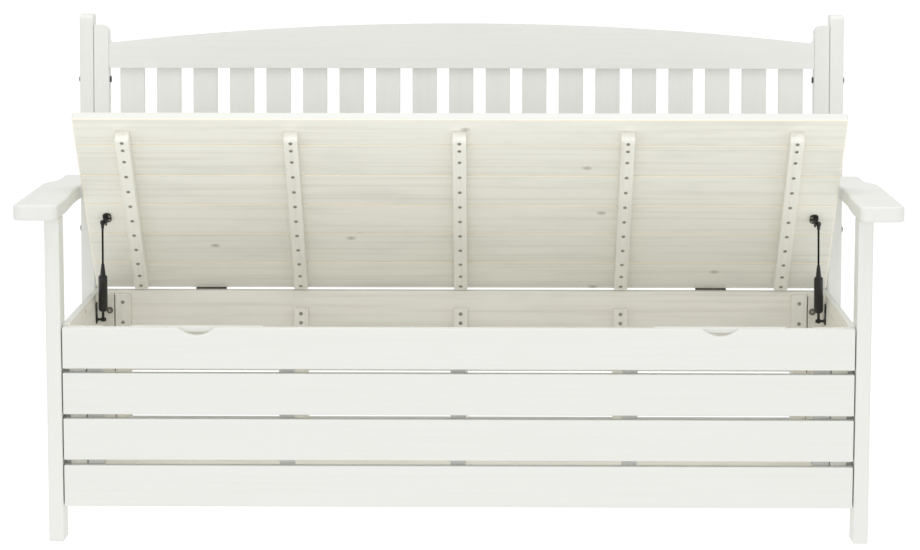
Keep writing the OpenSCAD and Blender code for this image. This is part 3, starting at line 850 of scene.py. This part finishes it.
@dataclass
class Posts:
    """The four legs and the two armrests."""

    post_front: float = 220.0
    post_depth: float = 60.0
    seat_height: float = 400.0
    top: float = 937.0
    lean: float = 35.0
    back_of_top: float = 300.0
    arm_out: float = 798.0
    arm_in: float = 717.5
    arm_front: float = -300.0
    arm_waist: float = 6.0
    arm_taper: float = 20.0
    arm_ease: float = 4.5
    top_round: float = 8.0
    taper_from_post: float = 110.0
    taper_length: float = 56.0
    body: str = "frame"
    slot: str = "white_paint"

    def build(self) -> None:
        """Cuts the legs and armrests of both sides."""
        for side in Side:
            self._front_leg(side)
            self._rear_leg(side)
            self._armrest(side)
        plugs = Workpiece("armrest_plugs")
        for low, high in solid_boxes("arm_plugs"):
            middle = (low + high) / 2
            profile = [(-3.0, 5.0), (-0.1, 5.0), (0.25, 4.7), (0.4, 3.5)]
            plugs.take(turn(profile), Matrix.Translation((middle.x, middle.y, high.z)))
        plugs.set_down(self.body, self.slot, [OUTER_PAINT], ["arm_plugs"])

    def _front_leg(self, side: Side) -> None:
        """Cuts one front leg.

        Args:
            side: the side it stands on.
        """
        node = f"front_leg_{side.word}"
        piece = Workpiece(f"leg_front_{side.word}").take(cut_board(*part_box(node), 2.6), runs=Runs.Z)
        piece.set_down(self.body, self.slot, [OUTER_PAINT], [node])

    def _rear_leg(self, side: Side) -> None:
        """Cuts one rear leg, with its leaning upper part and its rounded top.

        Args:
            side: the side it stands on.
        """
        node = f"rear_leg_{side.word}"
        low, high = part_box(node)
        rear = self.post_front + self.post_depth
        outline = rounded(
            [
                (self.post_front, 0, 3),
                (rear, 0, 3),
                (rear, self.seat_height, 60),
                (self.back_of_top, self.top - 20, 10),
                (self.back_of_top, self.top, 8),
                (self.post_front + self.lean, self.top, 14),
                (self.post_front, self.seat_height, 60),
            ]
        )
        bm = cut_plate(outline, low.x, high.x, Face.SIDE, ease_mm=2.4)
        self._round_top(bm, low.x, high.x)
        piece = Workpiece(f"leg_rear_{side.word}").take(bm, runs=Runs.Z)
        piece.set_down(self.body, self.slot, [OUTER_PAINT], [node])

    def _round_top(self, bm: bmesh.types.BMesh, low: float, high: float) -> None:
        """Rounds the two top corners of a post, as seen from the front.

        Args:
            bm: the post.
            low: its lowest X.
            high: its highest X.
        """
        radius = self.top_round * MM
        middle, half = (low + high) / 2, (high - low) / 2
        for vert in bm.verts:
            out = abs(vert.co.x - middle) - (half - radius)
            if out > 0 and vert.co.z > self.top * MM - radius:
                drop = radius - math.sqrt(max(radius**2 - min(out, radius) ** 2, 0.0))
                vert.co.z = min(vert.co.z, self.top * MM - drop * 0.9)

    def _armrest(self, side: Side) -> None:
        """Cuts one armrest, tapered outside and hollowed inside.

        Args:
            side: the side it lies on.
        """
        node = f"armrest_{side.word}"
        low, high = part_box(node)
        rear, narrow = high.y / MM, self.arm_out - self.arm_taper
        taper_at, half = self.post_front - self.taper_from_post, self.taper_length / 2
        outside = rounded(
            [
                (self.arm_in, self.arm_front, 16),
                (self.arm_out, self.arm_front, 18),
                (self.arm_out, taper_at - half, 90),
                (narrow, taper_at + half, 90),
                (narrow, rear, 0),
                (self.arm_in, rear, 0),
            ],
            10,
        )
        steps, waist_rear, waist_length = 24, 190, 390
        waist = [
            (self.arm_in + self.arm_waist * math.sin(math.pi * t) ** 2, waist_rear - waist_length * t)
            for t in (i / steps for i in range(steps + 1))
        ]
        outline = [(side.value * x, y) for x, y in outside + waist]
        piece = Workpiece(f"arm_{side.word}")
        piece.take(cut_plate(outline, low.z, high.z, Face.TOP, self.arm_ease, 4), runs=Runs.Y)
        piece.set_down(self.body, self.slot, [OUTER_PAINT], [node])


@dataclass
class StorageBox:
    """The slatted walls, the cleats that hold them, the floor and the strips behind the finger scoops."""

    scoop_x: float = 475.0
    scoop_radius: float = 45.0
    scoop_depth: float = 15.0
    scoop_steps: int = 20
    body: str = "frame"

    def build(self) -> None:
        """Cuts the four walls, then the cleats and the floor."""
        for i in range(1, 5):
            self._front_slat(i)
            piece = Workpiece(f"rear_board_{i}")
            piece.take(cut_board(*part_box(f"rear_slat_{i}")), thin_side=Vector((0, -1, 0)))
            piece.set_down(self.body, "white_paint", [OUTER_PAINT, INNER_PAINT], [f"rear_slat_{i}"])
            for side in Side:
                piece = Workpiece(f"side_board_{side.word}_{i}")
                node = f"side_slat_{side.word}_{i}"
                piece.take(cut_board(*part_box(node), 1.4), runs=Runs.Y, thin_side=Vector((-side.value, 0, 0)))
                piece.set_down(self.body, "white_paint", [OUTER_PAINT, INNER_PAINT], [node])
        for node, name, finish in (
            ("rear_cleats", "cleats_rear", INNER_PAINT),
            ("corner_cleats_left", "cleats_corner_left", INNER_PAINT),
            ("corner_cleats_right", "cleats_corner_right", INNER_PAINT),
            ("floor_bearers", "bearers", INNER_PAINT),
            ("floor_slats", "floor_boards", INNER_PAINT),
            ("front_cleats", "cleats_front", OUTER_PAINT),
            ("grip_strips", "strips_behind_scoops", OUTER_PAINT),
        ):
            cut_straight(name, node, "cream_primer", finish, 1.4)

    def _front_slat(self, number: int) -> None:
        """Cuts one front slat, the top one with its two finger scoops.

        Args:
            number: its place from the top, from 1.
        """
        node = f"front_slat_{number}"
        low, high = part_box(node)
        left, right = low.x / MM, high.x / MM
        bottom, top = low.z / MM, high.z / MM
        outline: list[Point2] = [(left, bottom), (right, bottom), (right, top)]
        if number == 1:
            rise = self.scoop_radius - self.scoop_depth
            reach = math.acos(rise / self.scoop_radius)
            for x in (self.scoop_x, -self.scoop_x):
                for i in range(self.scoop_steps + 1):
                    angle = reach - 2 * reach * i / self.scoop_steps
                    across = x + self.scoop_radius * math.sin(angle)
                    outline.append((across, top + rise - self.scoop_radius * math.cos(angle)))
        outline.append((left, top))
        piece = Workpiece(f"front_board_{number}")
        piece.take(cut_plate(outline, low.y, high.y, Face.FRONT, 2.0))
        piece.set_down(self.body, "white_paint", [OUTER_PAINT], [node])


@dataclass
class Backrest:
    """The leaning back: two stiles, an arched top rail, a bottom rail and the upright slats."""

    foot: Vector = field(default_factory=lambda: Vector((0.0, 0.220, 0.400)))
    lean_run: float = 35.0
    lean_rise: float = 537.0
    arch_rise: float = 38.0
    body: str = "frame"
    slot: str = "white_paint"

    @property
    def place(self) -> Matrix:
        """The leaning frame: local Y is 0 at the front face and local Z is 0 at the seat frame."""
        lean = math.atan(self.lean_run / self.lean_rise)
        return Matrix.Translation(self.foot) @ Matrix.Rotation(-lean, 4, "X")

    def build(self) -> None:
        """Cuts the stiles, rails and slats."""
        for side in Side:
            self._stile(side)
        self._top_rail()
        for node, name in (("back_bottom_rail", "bottom_rail"), ("back_slats", "upright_slats")):
            cut_straight(name, node, self.slot, OUTER_PAINT, 1.8, self.place)

    def _stile(self, side: Side) -> None:
        """Cuts one stile, its inner top corner rounded over.

        Args:
            side: the side it stands on.
        """
        node = f"back_stile_{side.word}"
        low, high = solid_boxes(node, self.place)[0]
        inner, outer = sorted((abs(low.x) / MM, abs(high.x) / MM))
        foot, top = low.z / MM, high.z / MM
        outline = rounded([(inner, foot, 0), (outer, foot, 0), (outer, top, 4), (inner, top, 15)], 8)
        mirrored = [(side.value * x, z) for x, z in outline]
        piece = Workpiece(f"stile_{side.word}")
        piece.take(cut_plate(mirrored, low.y, high.y, Face.FRONT, 2.0), self.place, Runs.Z)
        piece.set_down(self.body, self.slot, [OUTER_PAINT], [node])

    def _top_rail(self) -> None:
        """Cuts the arched top rail, its ends swept up to the stiles."""
        low, high = solid_boxes("back_top_rail", self.place)[0]
        inner = high.x / MM
        base, top = low.z / MM, high.z / MM
        end_top = top - self.arch_rise
        fillet, steps = 9.0, 48
        half = inner - fillet
        radius = (half**2 + self.arch_rise**2) / (2 * self.arch_rise)
        sweep = [
            (half + fillet * math.sin(math.radians(a)), end_top + fillet - fillet * math.cos(math.radians(a)))
            for a in range(90, 14, -15)
        ]
        places = (half - 2 * half * i / steps for i in range(steps + 1))
        arch = [(x, top - radius + math.sqrt(radius**2 - x**2)) for x in places]
        outline = [(-inner, base), (inner, base), *sweep, *arch, *[(-x, z) for x, z in reversed(sweep)]]
        piece = Workpiece("arched_top_rail")
        piece.take(cut_plate(outline, low.y, high.y, Face.FRONT, 1.8), self.place, Runs.X)
        piece.set_down(self.body, self.slot, [OUTER_PAINT], ["back_top_rail"])


@dataclass
class Lid:
    """The hinged lid: six slats across, five battens and their screws."""

    seam_mm: float = 0.3
    body: str = "lid"
    hinge: Vector = field(default_factory=lambda: Vector(joint("lid_hinge")["pos_m"]))
    open_degrees: float = field(default_factory=lambda: joint("lid_hinge")["range_deg"][1])

    @property
    def place(self) -> Matrix:
        """The open lid's frame, in which the lid lies as it does when closed."""
        return turned(self.hinge, -self.open_degrees)

    def build(self) -> None:
        """Cuts the slats and battens and drives the screws."""
        for i in range(1, 7):
            node = f"lid_slat_{i}"
            low, high = solid_boxes(node, self.place)[0]
            piece = Workpiece(f"lid_board_{i}")
            shut = Vector((0, self.seam_mm / 2 * MM, 0))
            board = cut_board(low - shut, high + shut, 2.0, 1)
            # The eased edges along the underside's seams take a brighter paint: a painted highlight.
            piece.take(board, self.place, Runs.X, thin_side=Vector((0, 0, -1)), highlight_edges=True)
            piece.set_down(self.body, "cream_primer", [OUTER_PAINT, LID_PAINT, SEAM_HIGHLIGHT_PAINT], [node])
        battens = Workpiece("battens")
        for low, high in solid_boxes("lid_battens", self.place):
            (front, foot), (rear, top) = ((p.y / MM, p.z / MM) for p in (low, high))
            outline = rounded([(front, top, 0), (front, foot, 9), (rear, foot, 9), (rear, top, 0)])
            battens.take(cut_plate(outline, low.x, high.x, Face.SIDE, 1.6), self.place, Runs.Y)
        battens.set_down(self.body, "cream_primer", [LID_PAINT], ["lid_battens"])
        screws = Workpiece("lid_screw_heads")
        spin = random.Random(7)
        down = (self.place.to_3x3() @ Vector((0, 0, -1))).normalized()
        for low, high in solid_boxes("lid_screws", self.place):
            at = self.place @ Vector(((low.x + high.x) / 2, (low.y + high.y) / 2, low.z))
            screws.take_all(screw_parts(), facing(at, down, spin.uniform(0, math.pi)))
        screws.set_down(self.body, "zinc_steel", [ZINC, RECESS_SHADE_AND_GRIME], ["lid_screws"])


@dataclass
class Stay:
    """One lid stay: wall bracket, coated tube with its tapered cap, rod, and the fitting on the lid."""

    side: Side
    lid: Lid
    tube_radius: float = 8.8
    rod_radius: float = 2.0
    wall_plate: float = 2.5
    lid_plate: float = 3.2
    small_screw: float = 2.6

    @property
    def pivot(self) -> Vector:
        """The pivot on the wall."""
        return Vector(joint(f"stay_{self.side.word}_pivot")["pos_m"])

    @property
    def along(self) -> Vector:
        """The direction from that pivot to the lid fitting."""
        return Vector(joint(f"stay_{self.side.word}_slide")["axis"]).normalized()

    def build(self) -> None:
        """Makes the tube, rod, bracket and lid fitting."""
        self._tube()
        self._rod()
        self._bracket()
        self._lid_fitting()

    def _tube(self) -> None:
        """Turns the tube with its shoulders, its cap and its lower eye."""
        word, r = self.side.word, self.tube_radius
        place = facing(self.pivot, self.along)
        profile = [
            (3.0, 2.6), (19.0, 2.6), (19.2, 5.2), (20.4, 7.0), (22.4, 8.3), (24.8, r), (88.0, r), (88.6, 8.4),
            (90.0, 8.4), (90.6, r), (93.4, 8.5), (95.2, 7.4), (96.0, 5.4), (97.4, 5.2), (104.0, 4.8),
            (112.0, 4.0), (119.0, 3.2), (121.4, 2.9), (122.0, 2.2),
        ]  # fmt: skip
        piece = Workpiece(f"stay_cylinder_{word}")
        piece.take(turn(profile, 40), place)
        eye = turn([(-3.5, 3.9), (-3.0, 4.5), (3.0, 4.5), (3.5, 3.9)], 28)
        piece.take(eye, facing(self.pivot, Vector((1, 0, 0))))
        piece.set_down(f"stay_tube_{word}", "black_steel", [BLACK], [f"stay_tube_{word}"])

    def _rod(self) -> None:
        """Turns the rod and its ball socket."""
        word = self.side.word
        length = self._length()
        place = facing(self.pivot, self.along)
        r = self.rod_radius
        rod = turn([(length + z, radius) for z, radius in ((-116.0, 1.6), (-115.4, r), (-7.0, r))], 20)
        ball = (
            (-12.0, 2.3), (-11.0, 3.1), (-5.0, 3.3), (-3.8, 4.2),
            (0.0, 5.0), (3.0, 4.3), (4.6, 2.4), (5.0, 0.9),
        )  # fmt: skip
        socket = turn([(length + z, radius) for z, radius in ball], 28)
        piece = Workpiece(f"stay_piston_rod_{word}")
        piece.take(rod, place).take(socket, place, finish=1)
        piece.set_down(f"stay_rod_{word}", "zinc_steel", [ROD, BLACK], [f"stay_rod_{word}"])

    def _length(self) -> float:
        """The open stay's length between its two pivots, in millimetres."""
        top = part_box(f"stay_rod_{self.side.word}")[1].z
        return (top - 5 * MM - self.pivot.z) / self.along.z / MM

    def _bracket(self) -> None:
        """Presses the wall bracket, with its stud and two screws."""
        x = self.side.value
        low, high = next(b for b in solid_boxes("stay_brackets") if b[0].x * x > 0)
        wall = max(abs(low.x), abs(high.x))
        y, z = self.pivot.y / MM, self.pivot.z / MM
        outline = rounded([(y - 9, z - 8, 7), (y + 9, z - 8, 7), (y + 9, z + 34, 7), (y - 9, z + 34, 7)])
        inner = wall - self.wall_plate * MM
        span = sorted((x * inner, x * wall))
        piece = Workpiece(f"stay_wall_bracket_{self.side.word}")
        piece.take(cut_plate(outline, span[0], span[1], Face.SIDE, 0.5))
        inward = Vector((-x, 0, 0))
        profile = [(-0.5, 4.2), (1.2, 4.0), (1.6, 2.5), (15.2, 2.5), (15.2, 3.7), (16.4, 3.7), (16.9, 3.0)]
        piece.take(turn(profile, 24), facing(Vector((x * inner, self.pivot.y, self.pivot.z)), inward))
        for dz in (13, 27):
            at = Vector((x * inner, self.pivot.y, self.pivot.z + dz * MM))
            piece.take_all(screw_parts(), facing(at, inward, 0.4 + dz), 1)
        piece.set_down("frame", "black_steel", [BLACK, ZINC, RECESS_SHADE_AND_GRIME])

    def _lid_fitting(self) -> None:
        """Presses the plate on the lid, with its lug and two screws."""
        x = self.side.value
        place = self.lid.place
        low, high = next(b for b in solid_boxes("stay_lid_fittings", place) if b[0].x * x > 0)
        inner, outer = sorted((abs(low.x), abs(high.x)))
        middle, half = (low.y + high.y) / 2 / MM, (high.y - low.y) / 2 / MM
        piece = Workpiece(f"stay_lid_plate_{self.side.word}")
        corners = [
            (inner / MM, middle - half, 7.6), (outer / MM, middle - half, 7.6),
            (outer / MM, middle + half, 7.6), (inner / MM, middle + half, 7.6),
        ]  # fmt: skip
        outline = [(x * u, v) for u, v in rounded(corners, 8)]
        piece.take(cut_plate(outline, high.z - self.lid_plate * MM, high.z, Face.TOP, 1.1), place)
        lug = rounded(
            [(middle - 6, high.z / MM - 2, 0), (middle - 6, low.z / MM, 5.5),
             (middle + 6, low.z / MM, 5.5), (middle + 6, high.z / MM - 2, 0)]
        )  # fmt: skip
        span = sorted((x * (outer - 9 * MM), x * (outer - 6 * MM)))
        piece.take(cut_plate(lug, span[0], span[1], Face.SIDE, 0.6), place)
        down = (place.to_3x3() @ Vector((0, 0, -1))).normalized()
        for dy in (-5.6, 5.6):
            at = place @ Vector((x * (inner + 3.9 * MM), (middle + dy) * MM, high.z - self.lid_plate * MM))
            piece.take_all(screw_parts(self.small_screw), facing(at, down, dy), 1)
        piece.set_down("lid", "black_steel", [BLACK, ZINC, RECESS_SHADE_AND_GRIME])


@dataclass
class Fixings:
    """The wall screws, bolts, nuts and hinges."""

    bolt_head: float = 3.5
    body: str = "frame"

    def build(self) -> None:
        """Drives the wall screws and dresses the bolts, nuts and hinges."""
        screws = Workpiece("wall_screw_heads")
        spin = random.Random(11)
        for low, high in solid_boxes("cleat_screws"):
            at, normal = end_side(low, high)
            screws.take_all(screw_parts(), facing(at, normal, spin.uniform(0, math.pi)))
        screws.set_down(self.body, "zinc_steel", [ZINC, RECESS_SHADE_AND_GRIME], ["cleat_screws"])
        bolts = Workpiece("corner_bolt_heads")
        for low, high in solid_boxes("corner_bolts"):
            at, normal = end_side(low, high, self.bolt_head)
            radius = (high.x - low.x) / 2 / MM
            # Each corner bolt head takes zinc painted darker: painted shade for the dark ring round its
            # socket.
            head, inside = driven_head(radius, self.bolt_head, hexagon(2.9), 2.6, 2.0)
            place = facing(at, normal, spin.uniform(0, math.pi))
            # The socket takes a pale finish: a painted highlight.
            bolts.take(head, place).take(inside, place, finish=1)
        bolts.set_down(self.body, "zinc_steel", [SHADE_DARKENED_ZINC, SOCKET_HIGHLIGHT], ["corner_bolts"])
        for node, finish in (
            ("back_bolts", BLACK),
            ("back_nuts", BLACK),
            ("leg_bolts", ZINC),
            ("arm_screws", ZINC),
            # The hinges take zinc painted darker: painted shade.
            ("hinge_pins", SHADE_DARKENED_ZINC),
            ("hinge_frame_leaves", SHADE_DARKENED_ZINC),
            ("hinge_lid_leaves", SHADE_DARKENED_ZINC),
        ):
            dress_node(node, finish)


@dataclass
class Studio:
    """The white floor, the soft lights and the camera."""

    eye_mm: tuple[float, float, float] = (58.9, -5655.2, 1230.1)
    down_degrees: float = 7.779
    left_degrees: float = 0.591
    roll_degrees: float = -0.054
    lens_mm: float = 118.17
    sky: float = 0.76
    front_watts: float = 105.0
    top_watts: float = 138.0

    def build(self) -> None:
        """Lays the floor, sets the lights and places the camera."""
        self._floor()
        self._lights()
        self._camera()

    def _floor(self) -> None:
        """Lays a wide floor."""
        mesh = bpy.data.meshes.new("studio_floor")
        reach = 40.0
        corners = [(-reach, -reach, 0.0), (reach, -reach, 0.0), (reach, reach, 0.0), (-reach, reach, 0.0)]
        mesh.from_pydata(corners, [], [(0, 1, 2, 3)])
        mesh.materials.append(LitAcrylic().material())
        floor = bpy.data.objects.new("studio_floor", mesh)
        bpy.context.scene.collection.objects.link(floor)

    def _lights(self) -> None:
        """Sets an even white surround, a low soft box in front and a wide one above."""
        world = bpy.data.worlds.new("white_studio")
        world.use_nodes = True
        world.node_tree.nodes.clear()
        sky = add_node(world.node_tree, "ShaderNodeBackground", {"Color": (1, 1, 1, 1), "Strength": self.sky})
        add_node(world.node_tree, "ShaderNodeOutputWorld", {"Surface": sky.outputs[0]})
        bpy.context.scene.world = world
        self._soft_box("front_box", Vector((-0.3, -9.5, 1.7)), (5.0, 3.0), self.front_watts)
        self._soft_box("top_box", Vector((0.0, -1.2, 6.0)), (5.0, 4.0), self.top_watts)

    def _soft_box(self, name: str, at: Vector, size: tuple[float, float], watts: float) -> None:
        """Hangs one soft box, aimed at the bench.

        Args:
            name: the light's name.
            at: its place, in metres.
            size: its width and height, in metres.
            watts: its power.
        """
        light = bpy.data.lights.new(name, "AREA")
        light.shape, light.energy = "RECTANGLE", watts
        light.size, light.size_y = size
        lamp = bpy.data.objects.new(name, light)
        lamp.matrix_world = facing(at, at - Vector((0, 0, 0.45)))
        bpy.context.scene.collection.objects.link(lamp)

    def _camera(self) -> None:
        """Places the camera."""
        data = bpy.data.cameras.new("camera")
        data.sensor_width, data.lens = 36.0, self.lens_mm
        data.clip_start, data.clip_end = 0.1, 60.0
        camera = bpy.data.objects.new("camera", data)
        turn_left = Matrix.Rotation(math.radians(self.left_degrees), 4, "Z")
        tilt = Matrix.Rotation(math.radians(90 - self.down_degrees), 4, "X")
        roll = Matrix.Rotation(math.radians(-self.roll_degrees), 4, "Z")
        camera.matrix_world = Matrix.Translation(Vector(self.eye_mm) * MM) @ turn_left @ tilt @ roll
        bpy.context.scene.collection.objects.link(camera)
        bpy.context.scene.camera = camera
        bpy.context.scene.view_settings.view_transform = "Standard"


def main() -> None:
    """Builds the studio and then the bench, sub-assembly by sub-assembly."""
    Studio().build()
    Posts().build()
    StorageBox().build()
    Backrest().build()
    lid = Lid()
    lid.build()
    for side in Side:
        Stay(side, lid).build()
    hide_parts("stay_brackets")
    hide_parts("stay_lid_fittings")
    Fixings().build()


if __name__ == "__main__":
    main()
